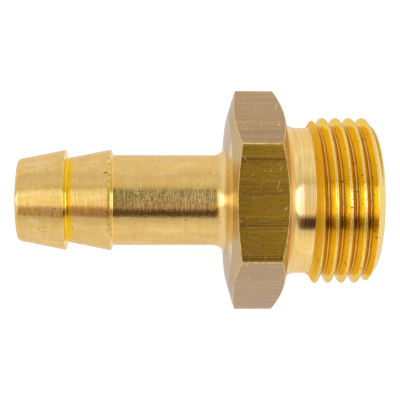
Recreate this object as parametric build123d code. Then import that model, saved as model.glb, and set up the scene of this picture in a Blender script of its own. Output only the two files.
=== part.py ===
from build123d import *
import os
from math import cos, radians, tan

# Brass hose tail: a barbed stem, a spanner hexagon and a male parallel pipe thread on one axis,
# turned from hexagon bar and drilled through. Millimetres. The axis is X. The origin is on it, in
# the plane of the hexagon's thread-side face: the thread points to +X and the barbs to -X. Two
# flats of the hexagon face up and down, so the part lies on one of them.

# Hexagon bar
across_flats = 19.0
bar_edge_radius = 0.15
hexagon_width = 5.6

# Hexagon, stem side: a slightly coned face, then a steeper cone that takes off the corners
stem_face_inset = 1.25
stem_face_angle = 5.0
stem_cone_angle = 16.0

# Hexagon, thread side: a flat seat, then a cone that takes off the corners
seat_inset = 0.15
seat_cone_angle = 25.0

# Threaded end. The thread is G 3/8: its form is left off, and the barrel is its crests.
thread_diameter = 16.6
threaded_end_length = 9.3
thread_chamfer_depth = 1.15
thread_chamfer_angle = 36.0
runout_angle = 31.0

# Neck between the hexagon and the thread, cut just below the thread's roots
neck_depth = 1.0
neck_length = 2.7
neck_fillet = 1.6

# Stem
stem_diameter = 9.0
stem_wall = 1.25
stem_fillet = 1.2
tail_length = 20.4

# Barbs: each rises from one side and drops off steeply on the other
barb_height = 0.5
barb_root_depth = 0.3
front_barb_length = 4.7
front_barb_back = 0.24
rear_barb_length = 4.0
rear_barb_land = 0.25
rear_barb_back = 0.22

# Nose and bore mouths
nose_depth = 0.44
nose_edge_radius = 0.4
nose_countersink = 0.25
thread_countersink = 0.8

# Room between the turned outline and the bar's corners
turning_margin = 1.0


def rise(angle, height):
    """Length along the axis in which a cone gains a height, its angle taken from a square face."""
    return height * tan(radians(angle))


# Diameters
bore_diameter = stem_diameter - 2 * stem_wall
nose_diameter = stem_diameter - 2 * nose_depth
barb_root_diameter = stem_diameter - 2 * barb_root_depth
barb_diameter = stem_diameter + 2 * barb_height
stem_face_diameter = across_flats - 2 * stem_face_inset
seat_diameter = across_flats - 2 * seat_inset
outside_diameter = across_flats / cos(radians(30)) + turning_margin
neck_diameter = thread_diameter - 2 * neck_depth
thread_end_diameter = thread_diameter - 2 * thread_chamfer_depth

# The nose's rounded edge and countersink are held within its wall, so a flat ring stays between
nose_wall = (nose_diameter - bore_diameter) / 2
nose_round = min(nose_edge_radius, nose_wall / 2)
nose_mouth = min(nose_countersink, nose_wall / 3)

# Places along the axis
stem_face_x = -hexagon_width
nose_x = stem_face_x - tail_length
front_barb_x = nose_x + front_barb_length
rear_root_x = front_barb_x + front_barb_back
rear_barb_x = rear_root_x + rear_barb_length
rear_land_x = rear_barb_x + rear_barb_land
stem_x = rear_land_x + rear_barb_back
stem_face_edge_x = stem_face_x + rise(stem_face_angle, (stem_face_diameter - stem_diameter) / 2)
stem_cone_x = stem_face_edge_x + rise(stem_cone_angle, (outside_diameter - stem_face_diameter) / 2)
seat_cone_x = -rise(seat_cone_angle, (outside_diameter - seat_diameter) / 2)
thread_x = neck_length + rise(runout_angle, neck_depth)
thread_chamfer_x = threaded_end_length - rise(thread_chamfer_angle, thread_chamfer_depth)

# Outline of the turned outside, as (x, diameter), from the nose to the threaded end
outline = [
    (nose_x, nose_diameter),
    (front_barb_x, barb_diameter),
    (rear_root_x, barb_root_diameter),
    (rear_barb_x, barb_diameter),
    (rear_land_x, barb_diameter),
    (stem_x, stem_diameter),
    (stem_face_x, stem_diameter),
    (stem_face_edge_x, stem_face_diameter),
    (stem_cone_x, outside_diameter),
    (seat_cone_x, outside_diameter),
    (0, seat_diameter),
    (0, neck_diameter),
    (neck_length, neck_diameter),
    (thread_x, thread_diameter),
    (thread_chamfer_x, thread_diameter),
    (threaded_end_length, thread_end_diameter),
]

# Outline of the bore, with a countersink at each mouth
bore = [
    (nose_x, bore_diameter + 2 * nose_mouth),
    (nose_x + nose_mouth, bore_diameter),
    (threaded_end_length - thread_countersink, bore_diameter),
    (threaded_end_length, bore_diameter + 2 * thread_countersink),
]


def half_section(stations):
    """The points of a half section: a row of (x, diameter) stations closed down to the axis."""
    return [
        (stations[0][0], 0),
        *[(x, diameter / 2) for x, diameter in stations],
        (stations[-1][0], 0),
    ]


def corner(sketch, x, diameter):
    """The sketch's vertex at one station."""
    return sketch.vertices().sort_by_distance((x, diameter / 2, 0))[0]


def turned_blank():
    """Everything a lathe tool leaves: the outline spun about the axis, with its rounded corners."""
    with BuildPart() as blank:
        with BuildSketch(Plane.XY) as half:
            with BuildLine():
                Polyline(*half_section(outline), close=True)
            make_face()
            fillet(corner(half, nose_x, nose_diameter), nose_round)
            fillet(corner(half, stem_face_x, stem_diameter), stem_fillet)
            fillet(corner(half, 0, neck_diameter), neck_fillet)
        revolve(axis=Axis.X)
    return blank.part


def hexagon_bar():
    """The drawn bar, a flat up and a flat down, as long as the fitting."""
    with BuildPart() as bar:
        with BuildSketch(Plane.YZ.offset(nose_x)):
            RegularPolygon(across_flats / 2, 6, major_radius=False)
        extrude(amount=threaded_end_length - nose_x)
        fillet(bar.edges().filter_by(Axis.X), bar_edge_radius)
    return bar.part


def drilling():
    """The bore from end to end."""
    with BuildPart() as drill:
        with BuildSketch(Plane.XY):
            with BuildLine():
                Polyline(*half_section(bore), close=True)
            make_face()
        revolve(axis=Axis.X)
    return drill.part


hose_tail = (turned_blank() & hexagon_bar()) - drilling()

os.makedirs("parts", exist_ok=True)
export_step(hose_tail, "parts/hose_tail.step")
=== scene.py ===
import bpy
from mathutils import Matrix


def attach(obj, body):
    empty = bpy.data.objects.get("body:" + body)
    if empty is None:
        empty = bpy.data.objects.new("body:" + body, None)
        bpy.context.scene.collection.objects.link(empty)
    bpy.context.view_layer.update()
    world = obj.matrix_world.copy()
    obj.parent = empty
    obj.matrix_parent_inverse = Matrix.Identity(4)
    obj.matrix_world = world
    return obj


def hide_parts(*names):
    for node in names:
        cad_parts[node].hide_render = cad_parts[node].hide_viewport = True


bl_info = {
    "name": "Brass Hose Tail",
    "version": (1, 0, 0),
    "blender": (4, 5, 0),
    "location": "3D View > Sidebar > Hose Tail",
    "description": "Turns a brass hose tail with barbs, a hexagon and a pipe thread",
    "category": "Object",
}

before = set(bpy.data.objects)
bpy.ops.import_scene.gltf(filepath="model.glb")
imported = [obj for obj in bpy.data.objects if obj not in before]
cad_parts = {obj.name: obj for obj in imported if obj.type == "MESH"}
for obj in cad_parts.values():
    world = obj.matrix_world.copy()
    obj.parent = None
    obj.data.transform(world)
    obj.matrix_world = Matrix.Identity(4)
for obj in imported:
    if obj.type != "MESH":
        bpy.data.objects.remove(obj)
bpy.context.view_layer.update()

from math import acos, atan2, cos, hypot, pi, radians, sin, tan

import bmesh
import bpy
from bpy.props import FloatProperty, FloatVectorProperty, IntProperty, PointerProperty
from mathutils import Matrix, Vector

MM = 0.001

# The 55 degree pipe thread's form. Its depth and rounding are shares of the pitch.
THREAD_DEPTH = 0.640327
THREAD_ROUNDING = 0.137329
THREAD_HALF_ANGLE = radians(27.5)

# How much of a face's normal lies along the axis: less than the first on the hexagon's flats, more
# than the second on its cones, and between them on the rounded rims.
FLAT_LEAN = 0.1
CONE_LEAN = 0.87

# The camera, in millimetres and radians: what it looks at, and how it is turned from straight above
CAMERA_TARGET = (-7.95, 0.013, 0)
CAMERA_DISTANCE = 110.27
CAMERA_PAN = 0.0489
CAMERA_TILT = 0.0282
CAMERA_ROLL = 0.0035
CAMERA_LENS = 98.95
CAMERA_SENSOR = 36

# Lights of the room. A ramp's colours stop at 1, which stands for the top light.
TOP_LIGHT = 4.0
COOL = (1, 1.2, 1.9)
WARM = (1, 0.98, 0.82)
BROWN = (1, 0.62, 0.38)


def length(name, description, millimetres):
    """A size that the panel shows in the scene's units."""
    return FloatProperty(name=name, description=description, default=millimetres * MM,
                         min=0.0, precision=5, unit="LENGTH")


def angle(name, description, degrees):
    """An angle that the panel shows in degrees."""
    return FloatProperty(name=name, description=description, default=radians(degrees),
                         subtype="ANGLE")


def colour(name, description, rgb):
    """A colour of the brass, in linear light."""
    return FloatVectorProperty(name=name, description=description, default=rgb, size=3,
                               min=0.0, max=1.0, subtype="COLOR")


def amount(name, description, value, top):
    """A plain number from 0 to a top."""
    return FloatProperty(name=name, description=description, default=value, min=0.0, max=top)


class TailSizes(bpy.types.PropertyGroup):
    across_flats: length("Across flats", "Spanner size of the hexagon", 19.0)
    hexagon_width: length("Hexagon width", "Along the axis, between its two side faces", 5.6)
    bar_edge: length("Bar edge radius", "Rounding of the hexagon bar's six long edges", 0.15)
    seat_diameter: length("Seat diameter", "Outside of the flat ring on the thread side", 18.7)
    seat_angle: angle("Seat cone angle", "Cone that takes off the corners, thread side", 25.0)
    face_diameter: length("Stem face diameter", "Outside of the slightly coned face", 16.5)
    face_angle: angle("Stem face angle", "How far the face leans from square", 5.0)
    cone_angle: angle("Stem cone angle", "Cone that takes off the corners, stem side", 16.0)
    neck_diameter: length("Neck diameter", "Undercut between hexagon and thread", 14.6)
    neck_length: length("Neck length", "From the seat to the thread's run-out", 2.7)
    neck_fillet: length("Neck fillet", "Radius between the neck and the seat", 1.6)
    runout_angle: angle("Run-out angle", "From a square face, where the thread begins", 31.0)
    thread_diameter: length("Thread diameter", "Over the crests", 16.6)
    thread_pitch: length("Thread pitch", "19 threads to the inch", 1.337)
    thread_phase: length("Thread phase", "Where a groove's middle crosses the lower side", 1.86)
    thread_end: length("Threaded end", "From the seat to the end face", 9.3)
    thread_chamfer: length("Thread chamfer", "How far the end's chamfer cuts in", 1.15)
    chamfer_angle: angle("Chamfer angle", "The chamfer's lean from a square face", 36.0)
    stem_diameter: length("Stem diameter", "Plain part between barbs and hexagon", 9.0)
    stem_fillet: length("Stem fillet", "Radius between the stem and the hexagon", 1.2)
    tail_length: length("Tail length", "From the hexagon to the nose", 20.4)
    barb_diameter: length("Barb diameter", "Over both barbs", 10.0)
    barb_root: length("Barb root diameter", "Behind the front barb", 8.4)
    front_barb: length("Front barb length", "From the nose to its edge", 4.7)
    front_back: length("Front barb back", "How far its back face leans", 0.24)
    rear_barb: length("Rear barb length", "From its root to its land", 4.0)
    rear_land: length("Rear barb land", "Narrow cylinder on its edge", 0.25)
    rear_back: length("Rear barb back", "Slope down to the stem", 0.22)
    nose_diameter: length("Nose diameter", "At the open end", 8.12)
    nose_edge: length("Nose edge radius", "Rounding round the open end", 0.4)
    bore_diameter: length("Bore diameter", "Hole from end to end", 6.5)
    nose_mouth: length("Nose countersink", "45 degrees, at the nose", 0.25)
    thread_mouth: length("Thread countersink", "45 degrees, at the threaded end", 0.8)
    edge_break: length("Edge break", "Rounding a tool leaves on a turned edge", 0.05)
    rim_break: length("Rim break", "Rounding of the hexagon's curved rims", 0.04)
    steps: IntProperty(name="Steps", description="Facets round the axis", default=240, min=24)


class TailFinish(bpy.types.PropertyGroup):
    turned: colour("Turned brass", "Freshly turned brass on stem and barbs", (0.82, 0.55, 0.19))
    # painted reflection: deep gold that stands in for brass mirrored in brass behind the barbs
    painted_reflection: colour("Cornered brass", "Brass that mostly mirrors brass", (0.92, 0.52, 0.015))
    faced: colour("Faced brass", "Turned cones of the hexagon, dulled by handling", (0.78, 0.59, 0.28))
    # painted highlight: the face by the stem is painted paler than the cones
    painted_lit_face: colour("Inner face", "Turned face close to the stem", (0.94, 0.76, 0.38))
    # painted highlight on the faces towards the threaded end, and the worn colour of rubbed edges
    bright: colour("Bright brass", "Backs of the barbs, chamfer and rubbed rims", (0.96, 0.70, 0.22))
    drawn: colour("Drawn brass", "The bar's own skin on the hexagon flats", (0.39, 0.205, 0.005))
    neck: colour("Neck brass", "Coarsely turned undercut", (0.94, 0.67, 0.28))
    thread: colour("Thread brass", "Flanks of the thread", (0.88, 0.59, 0.065))
    # painted shade: the thread's root is painted darker than its flanks
    root: colour("Root brass", "Bottom of the thread", (0.72, 0.45, 0.11))
    # rubbed wear on the crests, with a painted highlight
    crest: colour("Crest brass", "Rubbed crests of the thread", (0.86, 0.64, 0.25))
    stain: colour("Stain", "Brown spots of tarnish and cutting oil", (0.20, 0.09, 0.02))


class TailStage(bpy.types.PropertyGroup):
    light: amount("Light", "Brightness of the white room round the object", 1.0, 5.0)


# ---------------------------------------------------------------- shape

def deselect():
    """Leaves any edit mode, with nothing selected."""
    if bpy.context.object and bpy.context.object.mode != "OBJECT":
        bpy.ops.object.mode_set(mode="OBJECT")
    bpy.ops.object.select_all(action="DESELECT")


def pick(piece):
    """Makes the piece the only selected one and the active one."""
    deselect()
    piece.select_set(True)
    bpy.context.view_layer.objects.active = piece


def rounded(corners, plain_end):
    """The (x, r) points of an outline, from its corners and how each is rounded.

    Up to plain_end, a narrow strip beside each rounding keeps the face beyond it evenly shaded.
    """
    strip = 0.02 * MM
    points = []
    count = len(corners)
    for i, (x, r, rounding, steps) in enumerate(corners):
        here = Vector((x, r))
        if rounding == 0:
            points.append(here)
            continue
        before = (Vector(corners[i - 1][:2]) - here).normalized()
        after = (Vector(corners[(i + 1) % count][:2]) - here).normalized()
        half = acos(max(-1, min(1, before.dot(after)))) / 2
        centre = here + (before + after).normalized() * rounding / sin(half)
        start = here + before * rounding / tan(half) - centre
        end = here + after * rounding / tan(half) - centre
        sweep = pi - 2 * half
        if x <= plain_end:
            points.append(centre + start + before * strip)
        for k in range(steps + 1):
            t = k / steps
            arm = (start * sin((1 - t) * sweep) + end * sin(t * sweep)) / sin(sweep)
            points.append(centre + arm)
        if x < plain_end:
            points.append(centre + end + after * strip)
    return points


def draw_outline(name, points, side):
    """A closed loop of edges through (x, r) points, on the +Z side of the axis or the -Z side."""
    deselect()
    first = points[0]
    bpy.ops.mesh.primitive_plane_add(size=MM, location=(first[0], 0, side * first[1]))
    outline = bpy.context.object
    outline.name = outline.data.name = name
    bpy.ops.object.transform_apply(location=True, rotation=True, scale=True)
    bpy.ops.object.mode_set(mode="EDIT")
    bpy.ops.mesh.select_mode(type="VERT")
    bpy.ops.mesh.select_all(action="SELECT")
    bpy.ops.mesh.merge(type="CENTER")
    for a, b in zip(points, points[1:]):
        step = (b[0] - a[0], 0, side * (b[1] - a[1]))
        bpy.ops.mesh.extrude_vertices_move(TRANSFORM_OT_translate={"value": step})
    mesh = bmesh.from_edit_mesh(outline.data)
    for v in mesh.verts:
        v.select = len(v.link_edges) == 1
    mesh.select_flush(True)
    bmesh.update_edit_mesh(outline.data)
    bpy.ops.mesh.edge_face_add()
    bpy.ops.object.mode_set(mode="OBJECT")
    return outline


def apply_modifiers(piece):
    """Applies all the piece's modifiers, in their order."""
    pick(piece)
    for modifier in list(piece.modifiers):
        bpy.ops.object.modifier_apply(modifier=modifier.name)


def cut(piece, tool, operation):
    """Cuts the piece with a tool, and puts the tool away."""
    boolean = piece.modifiers.new("cut", "BOOLEAN")
    boolean.operation = operation
    boolean.solver = "EXACT"
    boolean.object = tool
    apply_modifiers(piece)
    bpy.data.objects.remove(tool)


def corner_radius(s):
    """From the axis to the hexagon's corners, as if they weren't rounded."""
    return s.across_flats / cos(radians(30)) / 2


def by_the_rims(s, x, r):
    """Whether a place is within the hexagon's width and as far out as its curved rims."""
    inwards = 0.2 * MM
    return -s.hexagon_width < x < 0 and r > s.across_flats / 2 - inwards


def turned_outline(s):
    """The half section's corners, from the nose along the outside and back through the bore.

    Each is (x, radius from the axis, rounding, steps of the rounding).
    """
    turning_margin = 0.5 * MM
    e = s.edge_break
    half_bore = s.bore_diameter / 2
    stem_face = -s.hexagon_width
    nose = stem_face - s.tail_length
    outside = corner_radius(s) + turning_margin
    face_edge = stem_face + (s.face_diameter - s.stem_diameter) / 2 * tan(s.face_angle)
    cone_end = face_edge + (outside - s.face_diameter / 2) * tan(s.cone_angle)
    seat_cone = -(outside - s.seat_diameter / 2) * tan(s.seat_angle)
    front = nose + s.front_barb
    root = front + s.front_back
    land = root + s.rear_barb
    land_end = land + s.rear_land
    stem = land_end + s.rear_back
    runout = s.neck_length + (s.thread_diameter - s.neck_diameter) / 2 * tan(s.runout_angle)
    chamfer = s.thread_end - s.thread_chamfer * tan(s.chamfer_angle)
    return [
        (nose, half_bore + s.nose_mouth, e, 2),
        (nose, s.nose_diameter / 2, s.nose_edge, 8),
        (front, s.barb_diameter / 2, e, 4),
        (root, s.barb_root / 2, 2 * e, 3),
        (land, s.barb_diameter / 2, e, 2),
        (land_end, s.barb_diameter / 2, e, 3),
        (stem, s.stem_diameter / 2, 2 * e, 3),
        (stem_face, s.stem_diameter / 2, s.stem_fillet, 12),
        (face_edge, s.face_diameter / 2, 2 * e, 2),
        (cone_end, outside, 0, 0),
        (seat_cone, outside, 0, 0),
        (0, s.seat_diameter / 2, e, 2),
        (0, s.neck_diameter / 2, s.neck_fillet, 14),
        (s.neck_length, s.neck_diameter / 2, 2 * e, 3),
        (runout, s.thread_diameter / 2, e, 3),
        (chamfer, s.thread_diameter / 2, e, 3),
        (s.thread_end, s.thread_diameter / 2 - s.thread_chamfer, e, 3),
        (s.thread_end, half_bore + s.thread_mouth, e, 3),
        (s.thread_end - s.thread_mouth, half_bore, e, 2),
        (nose + s.nose_mouth, half_bore, e, 2),
    ]


def turn_blank(s):
    """The round blank: its half section spun about the axis."""
    blank = draw_outline("turned_hose_tail", rounded(turned_outline(s), s.neck_length), 1)
    bpy.ops.object.mode_set(mode="EDIT")
    bpy.ops.mesh.select_all(action="SELECT")
    bpy.ops.mesh.delete(type="ONLY_FACE")
    bpy.ops.mesh.select_all(action="SELECT")
    bpy.ops.mesh.spin(steps=s.steps, angle=2 * pi, center=(0, 0, 0), axis=(1, 0, 0))
    bpy.ops.mesh.select_all(action="SELECT")
    bpy.ops.mesh.remove_doubles(threshold=0.001 * MM)
    bpy.ops.mesh.normals_make_consistent(inside=False)
    bpy.ops.object.mode_set(mode="OBJECT")
    return blank


def hexagon_bar(s):
    """The bar the hexagon is left from, a flat up and a flat down, its long edges rounded."""
    bar_length = 80 * MM
    deselect()
    bpy.ops.mesh.primitive_cylinder_add(
        vertices=6, radius=corner_radius(s), depth=bar_length, rotation=(0, radians(90), 0))
    bar = bpy.context.object
    bpy.ops.object.transform_apply(location=True, rotation=True, scale=True)
    bpy.ops.object.mode_set(mode="EDIT")
    bpy.ops.mesh.select_mode(type="EDGE")
    mesh = bmesh.from_edit_mesh(bar.data)
    for e in mesh.edges:
        e.select = abs(e.verts[0].co.x - e.verts[1].co.x) > MM
    bmesh.update_edit_mesh(bar.data)
    bpy.ops.mesh.bevel(offset=s.bar_edge * tan(radians(30)), segments=4, profile=0.5)
    bpy.ops.object.mode_set(mode="OBJECT")
    return bar


def select_rims(tail, s, wanted):
    """Selects the edges by the rims for which wanted(edge, lesser lean, greater lean) is true."""
    bpy.ops.mesh.select_all(action="DESELECT")
    mesh = bmesh.from_edit_mesh(tail.data)
    for e in mesh.edges:
        middle = (e.verts[0].co + e.verts[1].co) / 2
        if len(e.link_faces) == 2 and by_the_rims(s, middle.x, hypot(middle.y, middle.z)):
            less, more = sorted(abs(f.normal.x) for f in e.link_faces)
            e.select = wanted(e, less, more)
    bmesh.update_edit_mesh(tail.data)


def break_rims(tail, s):
    """Rounds the curved rims where the hexagon's flats meet its two cones.

    The shortest bits, around the bar's own rounded edges, stay as they are. Where a rounded rim
    meets its cone the edge is marked sharp, which keeps the cone evenly shaded.
    """
    shortest = 0.05 * MM
    pick(tail)
    bpy.ops.object.mode_set(mode="EDIT")
    bpy.ops.mesh.select_mode(type="EDGE")
    select_rims(tail, s, lambda e, less, more:
                less < FLAT_LEAN and more > CONE_LEAN and e.calc_length() > shortest)
    bpy.ops.mesh.bevel(offset=s.rim_break, segments=2, profile=0.5, clamp_overlap=False)
    select_rims(tail, s, lambda e, less, more: less < CONE_LEAN < more)
    bpy.ops.mesh.mark_sharp()
    bpy.ops.object.mode_set(mode="OBJECT")


def groove_section(s):
    """The (x, r) section of the groove about x = 0, and on outwards past the blank."""
    pitch = s.thread_pitch
    crest = s.thread_diameter / 2
    root = crest - THREAD_DEPTH * pitch
    radius = THREAD_ROUNDING * pitch
    flank = pi / 2 - THREAD_HALF_ANGLE
    crest_end = radians(20)
    root_steps = 5
    crest_steps = 4
    clear = 0.3 * MM
    side = []
    for k in range(root_steps + 1):
        t = flank * k / root_steps
        side.append((radius * sin(t), root + radius - radius * cos(t)))
    for k in range(crest_steps + 1):
        t = flank + (crest_end - flank) * k / crest_steps
        side.append((pitch / 2 - radius * sin(t), crest - radius + radius * cos(t)))
    edge = pitch / 2 - radius * sin(crest_end) + radius * tan(crest_end / 2)
    side += [(edge, crest), (edge, crest + clear)]
    return [(-u, r) for u, r in reversed(side[1:])] + side


def thread_groove(s):
    """The groove as a solid coil, to cut with, from clear of the neck to past the end face."""
    turns = 6.25
    section = [(s.thread_phase + u, r) for u, r in groove_section(s)]
    coil = draw_outline("thread_groove", section, -1)
    screw = coil.modifiers.new("thread", "SCREW")
    screw.axis = "X"
    screw.angle = 2 * pi * turns
    screw.screw_offset = s.thread_pitch * turns
    screw.steps = screw.render_steps = int(s.steps * turns)
    screw.use_merge_vertices = False
    screw.use_normal_calculate = True
    bpy.ops.object.mode_set(mode="EDIT")
    bpy.ops.mesh.select_all(action="SELECT")
    bpy.ops.mesh.delete(type="ONLY_FACE")
    bpy.ops.object.mode_set(mode="OBJECT")
    apply_modifiers(coil)
    bpy.ops.object.mode_set(mode="EDIT")
    bpy.ops.mesh.select_mode(type="VERT")
    bpy.ops.mesh.select_all(action="DESELECT")
    bpy.ops.mesh.select_non_manifold()
    bpy.ops.mesh.fill_holes(sides=0)
    bpy.ops.mesh.select_all(action="SELECT")
    bpy.ops.mesh.normals_make_consistent(inside=False)
    bpy.ops.object.mode_set(mode="OBJECT")
    return coil


# ---------------------------------------------------------------- finish

class Wiring:
    """Adds nodes to a tree and plugs sockets or plain values into them."""

    def __init__(self, tree):
        self.tree = tree
        tree.nodes.clear()

    def node(self, kind, **settings):
        made = self.tree.nodes.new("ShaderNode" + kind)
        for name, value in settings.items():
            setattr(made, name, value)
        return made

    def plug(self, value, socket):
        """Links a socket or sets a plain value. Three numbers make an opaque colour."""
        if isinstance(value, bpy.types.NodeSocket):
            self.tree.links.new(value, socket)
        elif hasattr(value, "__len__") and len(value) == 3 and len(socket.default_value) == 4:
            socket.default_value = (*value, 1)
        else:
            socket.default_value = value

    def math(self, operation, *values):
        made = self.node("Math", operation=operation)
        for value, socket in zip(values, made.inputs):
            self.plug(value, socket)
        return made.outputs[0]

    def plus(self, a, b):
        return self.math("ADD", a, b)

    def times(self, a, b):
        return self.math("MULTIPLY", a, b)

    def most(self, a, b):
        return self.math("MAXIMUM", a, b)

    def cross(self, a, b):
        made = self.node("VectorMath", operation="CROSS_PRODUCT")
        self.plug(a, made.inputs[0])
        self.plug(b, made.inputs[1])
        return made.outputs[0]

    def size(self, vector):
        made = self.node("VectorMath", operation="LENGTH")
        self.plug(vector, made.inputs[0])
        return made.outputs["Value"]

    def scaled(self, vector, factor):
        made = self.node("VectorMath", operation="SCALE")
        self.plug(vector, made.inputs[0])
        self.plug(factor, made.inputs["Scale"])
        return made.outputs[0]

    def split(self, vector):
        made = self.node("SeparateXYZ")
        self.plug(vector, made.inputs[0])
        return made.outputs

    def join(self, x, y, z):
        made = self.node("CombineXYZ")
        for value, socket in zip((x, y, z), made.inputs):
            self.plug(value, socket)
        return made.outputs[0]

    def noise(self, where, scale=1.0, detail=2.0, roughness=0.5):
        made = self.node("TexNoise")
        self.plug(where, made.inputs["Vector"])
        made.inputs["Scale"].default_value = scale
        made.inputs["Detail"].default_value = detail
        made.inputs["Roughness"].default_value = roughness
        return made.outputs[0]

    def span(self, value, low, high, to_low=0.0, to_high=1.0):
        """The value as it climbs smoothly from to_low to to_high between low and high."""
        made = self.node("MapRange", interpolation_type="SMOOTHSTEP")
        for v, name in ((value, "Value"), (low, "From Min"), (high, "From Max"),
                        (to_low, "To Min"), (to_high, "To Max")):
            self.plug(v, made.inputs[name])
        return made.outputs["Result"]

    def blend(self, factor, a, b, how="MIX"):
        """Colour a at factor 0 and colour b at 1."""
        made = self.node("Mix", data_type="RGBA", blend_type=how)
        self.plug(factor, made.inputs[0])
        self.plug(a, made.inputs[6])
        self.plug(b, made.inputs[7])
        return made.outputs[2]

    def tinted(self, plain, tint):
        """A plain colour multiplied by a tint."""
        return self.blend(1.0, plain, tint, "MULTIPLY")

    def steps(self, value, stops):
        """A colour ramp through (place, (r, g, b)) stops."""
        made = self.node("ValToRGB")
        self.plug(value, made.inputs[0])
        elements = made.color_ramp.elements
        for place, rgb in stops[:-1]:
            element = elements.new(place)
            element.color = (*rgb, 1)
        elements.remove(elements[0])
        elements[-1].position = stops[-1][0]
        elements[-1].color = (*stops[-1][1], 1)
        return made.outputs[0]

    def bump(self, height, depth):
        """A normal roughened by a height from 0 to 1, which stands for the depth."""
        made = self.node("Bump")
        made.inputs["Strength"].default_value = 1
        made.inputs["Distance"].default_value = depth
        self.plug(height, made.inputs["Height"])
        return made.outputs[0]


class Metal(Wiring):
    """A brass finish. Its patterns are laid out in millimetres round the axis."""

    def __init__(self, name):
        self.material = bpy.data.materials.new(name)
        self.material.use_nodes = True
        super().__init__(self.material.node_tree)
        self.shader = self.node("BsdfPrincipled")
        out = self.node("OutputMaterial")
        self.plug(self.shader.outputs[0], out.inputs[0])
        self.shader.inputs["Metallic"].default_value = 1
        place = self.node("TexCoord").outputs["Object"]
        self.place = self.scaled(place, 1 / MM)
        self.x, self.y, self.z = self.split(self.place)
        self.r = self.size(self.join(0.0, self.y, self.z))
        self.cy = self.math("DIVIDE", self.y, self.r)
        self.cz = self.math("DIVIDE", self.z, self.r)
        # distance along the outline, near enough, for marks that run round the axis
        self.along = self.plus(self.x, self.times(self.r, 1.7))
        self.normal = self.node("NewGeometry").outputs["Normal"]

    def set(self, **values):
        """Plugs values into the shader's inputs, each named with _ for a space."""
        for name, value in values.items():
            self.plug(value, self.shader.inputs[name.replace("_", " ")])

    def ring_marks(self, fineness, turn, detail=3.0):
        """Marks that run round the axis: fine across it and long round it."""
        return self.noise(self.join(
            self.times(self.along, fineness), self.times(self.cy, turn),
            self.times(self.cz, turn)), 1.0, detail)

    def drawn_marks(self, squeeze, scale, detail, roughness=0.5):
        """Marks drawn out along the axis, the longer the more x is squeezed."""
        return self.noise(self.join(self.times(self.x, squeeze), self.y, self.z),
                          scale, detail, roughness)

    def grain_across(self):
        """Points the stretched gloss along the outline, across the marks a lathe leaves."""
        round_axis = self.join(0.0, self.times(self.cz, -1.0), self.cy)
        self.plug(self.cross(round_axis, self.normal), self.shader.inputs["Tangent"])

    def scratches(self, turn, place):
        """Sparse thin scratches on the flats, slanting to the axis by a turn."""
        long = self.plus(self.times(self.x, cos(turn)), self.times(self.y, sin(turn)))
        thin = self.math("SUBTRACT", self.times(self.x, sin(turn)), self.times(self.y, cos(turn)))
        marks = self.noise(self.join(self.times(long, 0.7), self.times(thin, 9.0),
                                     self.plus(self.times(self.z, 0.5), place)), 1.0, 1.0)
        return self.span(marks, 0.75, 0.79)

    def spots(self, scale, share):
        """Sparse spots, the more the larger their share."""
        return self.span(self.noise(self.place, scale, 1.0), 1 - share, 1 - share + 0.05)


def turned_brass(finish):
    """Stem, barbs, nose and chamfer, with the fine rings that a tool leaves."""
    m = Metal("turned brass")
    s = bpy.context.scene.tail_sizes
    broad = m.ring_marks(1.3, 1.5, 2)
    fine = m.ring_marks(6.5, 4.0)
    wisps = m.drawn_marks(0.25, 1.3, 3, 0.6)
    tone = m.span(m.ring_marks(2.5, 3.0), 0.3, 0.7)
    base = m.blend(tone, finish.turned, m.tinted(finish.turned, (0.93, 0.92, 0.88)))
    base = m.blend(m.span(wisps, 0.5, 0.68, 0.0, 0.6), base, (0.74, 0.46, 0.14))
    base = m.blend(m.span(wisps, 0.46, 0.34, 0.0, 0.6), base, (0.86, 0.63, 0.28))
    # painted reflection: behind each barb a deep gold is painted on, standing in for brass mirrored in
    # brass
    hexagon = -s.hexagon_width / MM
    root = hexagon + (s.front_barb + s.front_back - s.tail_length) / MM
    stem = root + (s.rear_barb + s.rear_land + s.rear_back) / MM
    for edge, reach, strength in ((root, 0.7, 1.0), (stem, 0.6, 0.35)):
        near = m.times(m.span(m.x, edge - 0.02, edge + 0.02),
                       m.span(m.x, edge + 0.35, edge + reach, strength, 0.0))
        base = m.blend(near, base, finish.painted_reflection)
    # painted highlight: the two barbs' backs and the chamfer, which all face the threaded end, are
    # painted paler
    nx = m.split(m.normal)[0]
    back = m.blend(m.span(m.x, root + 1.0, root + 2.0), (1.0, 0.88, 0.30), (0.98, 0.84, 0.48))
    back = m.blend(m.span(m.x, 0.0, 1.0), back, finish.bright)
    base = m.blend(m.span(nx, 0.3, 0.6), base, back)
    # painted highlight: the fillet between the stem and the hexagon is painted paler
    painted_fillet_highlight = m.times(m.span(m.x, 0.0, -1.0), m.span(m.x, hexagon - 0.9, hexagon - 0.3))
    base = m.blend(painted_fillet_highlight, base, (0.86, 0.62, 0.25))
    base = m.blend(m.spots(3.5, 0.27), base, finish.stain)
    # the plain part of the stem is the roughest
    grain = m.plus(m.times(m.ring_marks(9.0, 4.0, 1.0), 0.7),
                   m.times(m.noise(m.place, 9.0, 1.0), 0.35))
    plain = m.span(m.x, stem - 1.0, stem + 3.0)
    height = m.plus(m.times(broad, 0.9), m.times(fine, 0.6))
    height = m.plus(height, m.times(grain, plain))
    m.set(Base_Color=base, Roughness=m.span(fine, 0.2, 0.8, 0.14, 0.24),
          Anisotropic=0.5, Specular_Tint=(0.97, 0.90, 0.80), Normal=m.bump(height, 0.018 * MM))
    m.grain_across()
    return m.material


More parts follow.
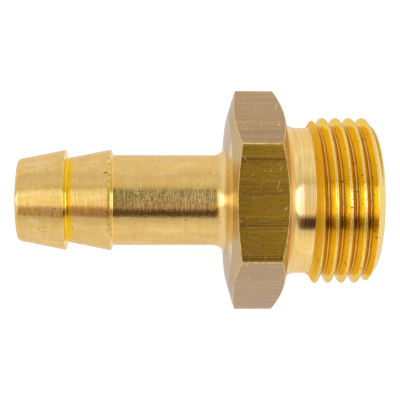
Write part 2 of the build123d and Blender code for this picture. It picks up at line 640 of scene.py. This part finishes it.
def faced_brass(finish):
    """The hexagon's turned sides: the face by the stem is painted paler, a painted highlight; the
    cones have a duller gloss colour, which is also put on the face by the stem as painted shade where
    it turns sideways from straight up.
    """
    m = Metal("faced brass")
    s = bpy.context.scene.tail_sizes
    broad = m.ring_marks(1.1, 1.0, 2)
    fine = m.ring_marks(4.0, 3.0)
    edge = s.face_diameter / 2 / MM
    outer = m.span(m.r, edge - 0.1, edge + 0.1)
    # a duller gloss colour on the cones, and painted shade on the face by the stem where it turns
    # sideways from straight up
    dulled = m.most(outer, m.span(m.math("ABSOLUTE", m.cz), 0.85, 0.6))
    # painted highlight: the face by the stem is painted paler than the cones
    base = m.blend(outer, finish.painted_lit_face, finish.faced)
    base = m.blend(m.span(fine, 0.3, 0.7), base, m.tinted(base, (0.9, 0.88, 0.85)))
    base = m.blend(m.spots(3.0, 0.25), base, finish.stain)
    height = m.plus(broad, m.times(fine, 0.6))
    m.set(Base_Color=base, Roughness=m.span(fine, 0.2, 0.8, 0.2, 0.3), Anisotropic=0.6,
          Specular_Tint=m.blend(dulled, (1.0, 0.97, 0.85), (0.68, 0.62, 0.67)),
          Normal=m.bump(height, 0.016 * MM))
    m.grain_across()
    return m.material


def neck_brass(finish):
    """The neck, painted paler where its fillet turns up to the seat, a painted highlight, and rougher
    there.
    """
    m = Metal("neck brass")
    fine = m.ring_marks(8.0, 2.0)
    painted_highlight_steep = m.span(m.split(m.normal)[0], 0.35, 0.75)
    base = m.blend(m.span(fine, 0.35, 0.6), (0.84, 0.54, 0.15), finish.neck)
    # painted highlight: where the fillet turns up to the seat it is painted paler
    base = m.blend(painted_highlight_steep, base, (0.95, 0.74, 0.36))
    base = m.blend(m.spots(3.0, 0.25), base, finish.stain)
    rough = m.most(m.span(fine, 0.2, 0.8, 0.12, 0.2), m.times(painted_highlight_steep, 0.4))
    m.set(Base_Color=base, Roughness=rough, Anisotropic=0.4, Specular_Tint=(0.97, 0.88, 0.75),
          Normal=m.bump(fine, 0.0015 * MM))
    m.grain_across()
    return m.material


def thread_brass(finish):
    """The thread: painted shade at its root, yellow on its flanks with the one towards the nose
    painted lighter, rubbed and nicked on its crests, which also carry a painted highlight.
    """
    m = Metal("thread brass")
    s = bpy.context.scene.tail_sizes
    crest = s.thread_diameter / 2 / MM
    root = crest - THREAD_DEPTH * s.thread_pitch / MM
    runout = s.neck_length / MM
    fine = m.ring_marks(7.0, 4.0)
    nicks = m.noise(m.place, 4.5, 3, 0.7)
    nx = m.split(m.normal)[0]
    # painted light: the flank that faces the nose is painted lighter
    flank = m.blend(m.span(nx, 0.0, -0.4), finish.thread, (0.98, 0.67, 0.08))
    # painted shade: the root is painted darker than the flanks, darkest just above its bottom
    shaded = m.tinted(finish.thread, (0.5, 0.36, 0.25))
    # the crests are painted paler: rubbed wear and a painted highlight
    rubbed = m.span(m.r, crest - 0.04, crest - 0.012)
    # painted light: the first turn by the run-out is painted brighter, and made rougher
    first = m.span(m.x, runout + 0.75, runout + 0.5)
    base = m.blend(m.span(m.r, root + 0.006, root + 0.02), finish.root, shaded)
    base = m.blend(m.span(m.r, root + 0.035, root + 0.1), base, flank)
    base = m.blend(first, base, (0.96, 0.62, 0.05))
    base = m.blend(rubbed, base, finish.crest)
    nicked = m.times(rubbed, m.span(nicks, 0.57, 0.64, 0.0, 0.7))
    base = m.blend(nicked, base, (0.45, 0.28, 0.08))
    base = m.blend(m.spots(3.2, 0.3), base, finish.stain)
    rough = m.most(m.span(fine, 0.2, 0.8, 0.12, 0.24), m.times(first, 0.42))
    height = m.plus(fine, m.times(nicks, m.times(rubbed, 3.0)))
    m.set(Base_Color=base, Roughness=rough, Anisotropic=0.3, Specular_Tint=(0.95, 0.80, 0.60),
          Normal=m.bump(height, 0.006 * MM))
    m.grain_across()
    return m.material


def drawn_brass(finish):
    """The flats: the bar's own skin, streaked along the axis, with a few scratches."""
    m = Metal("drawn brass")
    lines = m.drawn_marks(0.006, 6.0, 4, 0.75)
    broken = m.drawn_marks(0.04, 6.0, 2, 0.65)
    bands = m.drawn_marks(0.006, 1.1, 1)
    drag = m.drawn_marks(0.01, 2.6, 1)
    grain = m.noise(m.place, 7.0, 2, 0.7)
    streaks = m.plus(m.times(lines, 0.55), m.times(broken, 0.2))
    streaks = m.plus(streaks, m.times(bands, 0.25))
    dark = m.tinted(finish.drawn, (0.52, 0.49, 0.52))
    light = m.tinted(finish.drawn, (1.35, 1.42, 1.9))
    base = m.blend(m.span(streaks, 0.38, 0.48), dark, finish.drawn)
    base = m.blend(m.span(streaks, 0.52, 0.62), base, light)
    base = m.blend(m.span(grain, 0.54, 0.68, 0.0, 0.8), base, light)
    base = m.blend(m.span(grain, 0.44, 0.32, 0.0, 0.8), base, dark)
    base = m.blend(m.span(drag, 0.64, 0.68, 0.0, 0.8), base, dark)
    scratched = m.scratches(0.9, 11.0)
    for turn, place in ((1.2, 12.0), (-0.7, 13.0)):
        scratched = m.most(scratched, m.scratches(turn, place))
    base = m.blend(scratched, base, (1.0, 0.8, 0.45))
    rough = m.most(m.span(streaks, 0.3, 0.7, 0.24, 0.3), m.times(scratched, 0.6))
    height = m.plus(m.times(streaks, 1.6), m.times(grain, 0.6))
    grazing = m.node("LayerWeight").outputs["Facing"]
    m.set(Base_Color=base, Roughness=rough, Anisotropic=0.7,
          Coat_Weight=0.7, Coat_Roughness=0.3, Coat_IOR=1.33,
          Sheen_Weight=m.span(grazing, 0.15, 0.45, 0.1, 0.42), Sheen_Roughness=0.45,
          Sheen_Tint=(1.0, 0.84, 1.0), Normal=m.bump(height, 0.014 * MM))
    m.plug(m.cross((1.0, 0.0, 0.0), m.normal), m.shader.inputs["Tangent"])
    return m.material


def worn_and_highlit_brass(finish):
    """Bright edges, where the dull skin has been knocked off, with a painted highlight on the
    hexagon's rims and rounded edges and on the rear barb's land.
    """
    m = Metal("rubbed brass")
    wear = m.noise(m.place, 3.0, 3, 0.6)
    m.set(Base_Color=m.blend(m.span(wear, 0.4, 0.6), finish.bright, (0.6, 0.42, 0.13)),
          Roughness=m.span(wear, 0.3, 0.7, 0.2, 0.4), Normal=m.bump(wear, 0.03 * MM))
    return m.material


def bore_brass(finish):
    """The bore and its countersinks."""
    m = Metal("bored brass")
    fine = m.ring_marks(5.0, 3.0)
    m.set(Base_Color=m.blend(m.span(fine, 0.3, 0.7), finish.faced, (0.7, 0.46, 0.13)),
          Roughness=0.3, Normal=m.bump(fine, 0.01 * MM))
    return m.material


def finish_faces(tail, s, finish):
    """Gives each face the finish of its place on the part."""
    makers = (turned_brass, faced_brass, neck_brass, thread_brass, drawn_brass, worn_and_highlit_brass,
              bore_brass)
    tail.data.materials.clear()
    for make in makers:
        tail.data.materials.append(make(finish))
    turned, faced, neck, thread, drawn, rubbed, bored = range(len(makers))
    gap = 0.01 * MM
    stem_r = s.stem_diameter / 2
    fillet_r = stem_r + 0.6 * s.stem_fillet
    land = -s.hexagon_width - s.tail_length + s.front_barb + s.front_back + s.rear_barb
    crest = s.thread_diameter / 2
    slope = tan(s.chamfer_angle)
    chamfer = s.thread_end - s.thread_chamfer * slope
    for face in tail.data.polygons:
        x, r = face.center.x, hypot(face.center.y, face.center.z)
        lean = abs(face.normal.x)
        outwards = face.normal.dot(Vector((0, face.center.y, face.center.z)))
        if r < s.bore_diameter / 2 + gap or (outwards < 0 and r < s.barb_root / 2):
            kind = bored
        elif by_the_rims(s, x, r) and lean < FLAT_LEAN:
            # a flat faces one of six ways, and the bar's rounded edges face between them
            side = atan2(face.normal.z, face.normal.y) / radians(60) - 0.5
            kind = drawn if abs(side - round(side)) < 0.1 else rubbed
        elif by_the_rims(s, x, r) and lean < CONE_LEAN:
            kind = rubbed
        # the rear barb's land takes the rubbed finish too, a painted highlight where it mirrors the
        # dim part of the room
        elif land - gap < x < land + s.rear_land + gap and r > s.barb_diameter / 2 - gap:
            kind = rubbed
        elif x < -s.hexagon_width + gap and r < fillet_r:
            kind = turned
        elif x < gap and r > stem_r:
            kind = faced
        elif x < s.neck_length + gap:
            kind = neck
        elif r > min(crest, crest - (x - chamfer) / slope) - 2 * gap and x > chamfer - gap:
            kind = turned
        else:
            kind = thread
        face.material_index = kind


# ---------------------------------------------------------------- stage

def white_table():
    """Matt white that glows enough to stay white to the camera and still takes a soft shadow."""
    glow = 0.46
    seen_glow = 0.3
    mirrored_share = 0.25
    material = bpy.data.materials.new("white table")
    material.use_nodes = True
    w = Wiring(material.node_tree)
    shader = w.node("BsdfPrincipled")
    w.plug(shader.outputs[0], w.node("OutputMaterial").inputs[0])
    shader.inputs["Base Color"].default_value = (0.45, 0.45, 0.45, 1)
    shader.inputs["Roughness"].default_value = 1
    shader.inputs["Specular IOR Level"].default_value = 0
    shader.inputs["Emission Color"].default_value = (1, 1, 1, 1)
    rays = w.node("LightPath").outputs
    mirrored = w.most(rays["Is Glossy Ray"], rays["Is Transmission Ray"])
    seen = w.most(rays["Is Camera Ray"], w.times(mirrored, mirrored_share))
    w.plug(w.math("MULTIPLY_ADD", seen, seen_glow, glow), shader.inputs["Emission Strength"])
    return material


def grey(value, tint=(1, 1, 1)):
    """A light of the room as a ramp's colour."""
    return tuple(value * t / TOP_LIGHT for t in tint)


def dim_patch(w, x, across, tilt):
    """The patch round the camera: dark to the stem and hexagon, lighter to what leans away."""
    patch = w.steps(across, [
        (0.0, grey(3.0, (1, 1.2, 1.7))), (0.04, grey(2.1, (1, 1.1, 1.6))),
        (0.1, grey(1.4, (1, 1.1, 1.6))), (0.17, grey(2.2, (1, 1.15, 1.5))),
        (0.21, grey(1.9, (1, 1.1, 1.3))), (0.24, grey(1.0)), (0.31, grey(0.96, WARM)),
        (0.37, grey(1.2, WARM)), (0.415, grey(1.1, WARM)), (0.44, grey(0.4, WARM)),
        (0.465, grey(0.1, WARM)), (0.49, grey(0.04)), (0.532, grey(0.04)), (0.54, grey(0.2)),
        (0.558, grey(0.26)), (0.567, grey(1.3, (1, 1, 1.15))), (0.578, grey(1.3, (1, 1, 1.15))),
        (0.586, grey(1.0)), (0.6, grey(1.05, (1, 1, 1.1))),
        (0.63, grey(1.15, (1, 1.1, 1.5))), (0.66, grey(1.15, COOL)), (0.86, grey(1.3, COOL)),
        (0.92, grey(2.2, COOL)), (1.0, grey(3.3, (1, 1.3, 1.5)))])
    # its lower half is darker to the stem, lighter to the front flat, and warmer
    low = w.span(tilt, 15.0, -15.0)
    to_stem = w.times(w.span(x, -0.06, 0.0, 0.0, -0.6), w.span(x, 0.055, 0.075, 1.0, 0.0))
    to_flat = w.times(w.span(x, 0.06, 0.08, 0.0, 0.35), w.span(x, 0.115, 0.135, 1.0, 0.0))
    patch = w.scaled(patch, w.math("MULTIPLY_ADD", low, w.plus(to_stem, to_flat), 1.0))
    return w.blend(low, patch, w.tinted(patch, (1.0, 0.93, 0.76)))


def dark_strip(w, across):
    """The strip below the patch, darkest a little past its middle."""
    return w.steps(across, [
        (0.0, grey(0.9)), (0.18, grey(1.1, WARM)), (0.22, grey(0.9, WARM)),
        (0.25, grey(0.48, BROWN)), (0.33, grey(0.32, BROWN)),
        (0.43, grey(0.1, BROWN)), (0.6, grey(0.05, BROWN)), (0.8, grey(0.2, BROWN)),
        (1.0, grey(0.6))])


def white_walls(w, x, tilt):
    """The rest of the room, a little greyer overhead than towards the table."""
    walls = w.steps(w.math("MULTIPLY_ADD", tilt, 1 / 360, 0.5), [
        (0.0, grey(1.05)), (0.2, grey(1.0)), (0.28, grey(0.95)), (0.31, grey(0.92)),
        (0.34, grey(0.82)), (0.37, grey(0.72)), (0.5, grey(0.7)), (0.575, grey(0.68, WARM)),
        (0.6, grey(0.77, WARM)), (0.63, grey(0.86)), (0.66, grey(0.83)), (0.695, grey(0.79)),
        (0.73, grey(0.9)), (0.78, grey(0.96)), (1.0, grey(1.05))])
    # lighter at the sides to faces that lean to the thread, and darker overhead to steep ones
    off_top = w.math("ABSOLUTE", tilt)
    walls = w.scaled(walls, w.math("MULTIPLY_ADD", w.span(x, 0.0, 0.2),
                                   w.span(off_top, 30.0, 60.0, 0.0, 0.14), 1.0))
    return w.scaled(walls, w.math("MULTIPLY_ADD", w.span(x, 0.25, 0.5),
                                  w.span(off_top, 60.0, 100.0, -0.12, 0.0), 1.0))


def light_room(world, stage):
    """A white room with a dim patch round the camera and a dark strip below it.

    A direction's tilt is its turn round the part's axis from straight up, in degrees, and across
    runs from 0 at the nose's end to 1 at the threaded end.
    """
    w = Wiring(world.node_tree)
    background = w.node("Background")
    w.plug(background.outputs[0], w.node("OutputWorld").inputs[0])
    x, y, z = w.split(w.node("TexCoord").outputs["Generated"])
    tilt = w.times(w.math("ARCTAN2", y, z), 180 / pi)
    across = w.math("MULTIPLY_ADD", x, 0.5, 0.5)
    walls = white_walls(w, x, tilt)
    patch = dim_patch(w, x, across, tilt)
    strip = dark_strip(w, across)
    # the patch and the strip lie a few degrees lower towards both ends of the room, and the edge
    # between them lower still where the neck and the thread mirror it
    ends = w.most(w.span(x, -0.4, -0.8, 0.0, 6.0), w.span(x, 0.1, 0.14, 0.0, 3.5))
    ends = w.plus(ends, w.times(w.span(x, 0.3, 0.8, 0.0, 4.5), w.span(tilt, 5.0, -5.0)))
    tilt = w.plus(tilt, ends)
    edge = w.plus(tilt, w.span(x, 0.1, 0.14, 0.0, 3.2))
    in_patch = w.times(w.span(edge, -19.0, -15.0), w.span(tilt, 26.0, 34.0, 1.0, 0.0))
    in_strip = w.times(w.span(tilt, -44.0, -40.0), w.span(edge, -20.5, -16.5, 1.0, 0.0))
    in_seam = w.times(w.span(edge, -18.5, -16.5), w.span(edge, -15.5, -13.5, 0.7, 0.0))
    room = w.blend(in_strip, w.blend(in_patch, walls, patch), strip)
    room = w.blend(in_seam, room, grey(0.5, (1, 0.5, 0.3)))
    # plain white to the camera, through clear things, and where the table would be mirrored
    rays = w.node("LightPath").outputs
    below = w.times(rays["Is Glossy Ray"], w.span(z, 0.02, -0.02))
    seen = w.most(rays["Is Camera Ray"], rays["Is Transmission Ray"])
    seen = w.most(seen, below)
    w.plug(w.blend(seen, room, grey(1.0)), background.inputs["Color"])
    background.inputs["Strength"].default_value = TOP_LIGHT * stage.light


def place_camera(scene):
    """Stands the camera over the part, turned by its pan, tilt and roll."""
    back = Vector((-sin(CAMERA_PAN) * cos(CAMERA_TILT), sin(CAMERA_TILT),
                   cos(CAMERA_PAN) * cos(CAMERA_TILT)))
    right = Vector((0, 1, 0)).cross(back).normalized()
    up = back.cross(right)
    turn_cos, turn_sin = cos(CAMERA_ROLL), sin(CAMERA_ROLL)
    right, up = right * turn_cos + up * turn_sin, up * turn_cos - right * turn_sin
    place = Vector(CAMERA_TARGET) * MM + back * CAMERA_DISTANCE * MM
    bpy.ops.object.camera_add()
    camera = bpy.context.object
    camera.name = "camera"
    camera.matrix_world = Matrix((
        (right.x, up.x, back.x, place.x), (right.y, up.y, back.y, place.y),
        (right.z, up.z, back.z, place.z), (0, 0, 0, 1)))
    camera.data.lens = CAMERA_LENS
    camera.data.sensor_width = CAMERA_SENSOR
    camera.data.clip_start = 0.01
    camera.data.clip_end = 20
    scene.camera = camera


# ---------------------------------------------------------------- steps and panel

class TAIL_OT_turn(bpy.types.Operator):
    """Turn the hose tail from bar: blank, hexagon and thread in one piece"""
    bl_idname = "hose_tail.turn"
    bl_label = "Turn the hose tail"

    def execute(self, context):
        s = context.scene.tail_sizes
        tail = turn_blank(s)
        cut(tail, hexagon_bar(s), "INTERSECT")
        break_rims(tail, s)
        cut(tail, thread_groove(s), "DIFFERENCE")
        pick(tail)
        bpy.ops.object.shade_smooth_by_angle(angle=radians(28))
        even = tail.modifiers.new("even shading", "WEIGHTED_NORMAL")
        even.weight = 100
        even.keep_sharp = True
        apply_modifiers(tail)
        finish_faces(tail, s, context.scene.tail_finish)
        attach(tail, "root")
        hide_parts("hose_tail")
        return {"FINISHED"}


class TAIL_OT_stage(bpy.types.Operator):
    """Lay out the white table, the light of the room and the camera"""
    bl_idname = "hose_tail.stage"
    bl_label = "Set the stage"

    def execute(self, context):
        scene = context.scene
        table_size = 6
        deselect()
        bpy.ops.mesh.primitive_plane_add(
            size=table_size, location=(0, 0, -scene.tail_sizes.across_flats / 2))
        table = context.object
        table.name = "table"
        bpy.ops.object.transform_apply(location=True, rotation=True, scale=True)
        table.data.materials.append(white_table())
        scene.world = bpy.data.worlds.new("room")
        scene.world.use_nodes = True
        light_room(scene.world, scene.tail_stage)
        place_camera(scene)
        scene.view_settings.view_transform = "Standard"
        return {"FINISHED"}


class TAIL_PT_panel(bpy.types.Panel):
    """Sizes, finishes and light, and the two steps that build the scene"""
    bl_idname = "TAIL_PT_panel"
    bl_label = "Hose Tail"
    bl_space_type = "VIEW_3D"
    bl_region_type = "UI"
    bl_category = "Hose Tail"

    def draw(self, context):
        layout = self.layout
        for group in ("tail_sizes", "tail_finish", "tail_stage"):
            box = layout.box()
            settings = getattr(context.scene, group)
            for name in settings.bl_rna.properties.keys():
                if name not in ("rna_type", "name"):
                    box.prop(settings, name)
        layout.operator(TAIL_OT_turn.bl_idname)
        layout.operator(TAIL_OT_stage.bl_idname)


CLASSES = (TailSizes, TailFinish, TailStage, TAIL_OT_turn, TAIL_OT_stage, TAIL_PT_panel)


def register():
    for c in CLASSES:
        bpy.utils.register_class(c)
    bpy.types.Scene.tail_sizes = PointerProperty(type=TailSizes)
    bpy.types.Scene.tail_finish = PointerProperty(type=TailFinish)
    bpy.types.Scene.tail_stage = PointerProperty(type=TailStage)


def unregister():
    del bpy.types.Scene.tail_stage
    del bpy.types.Scene.tail_finish
    del bpy.types.Scene.tail_sizes
    for c in reversed(CLASSES):
        bpy.utils.unregister_class(c)


def main():
    register()
    bpy.ops.hose_tail.turn()
    bpy.ops.hose_tail.stage()


if __name__ == "__main__":
    main()
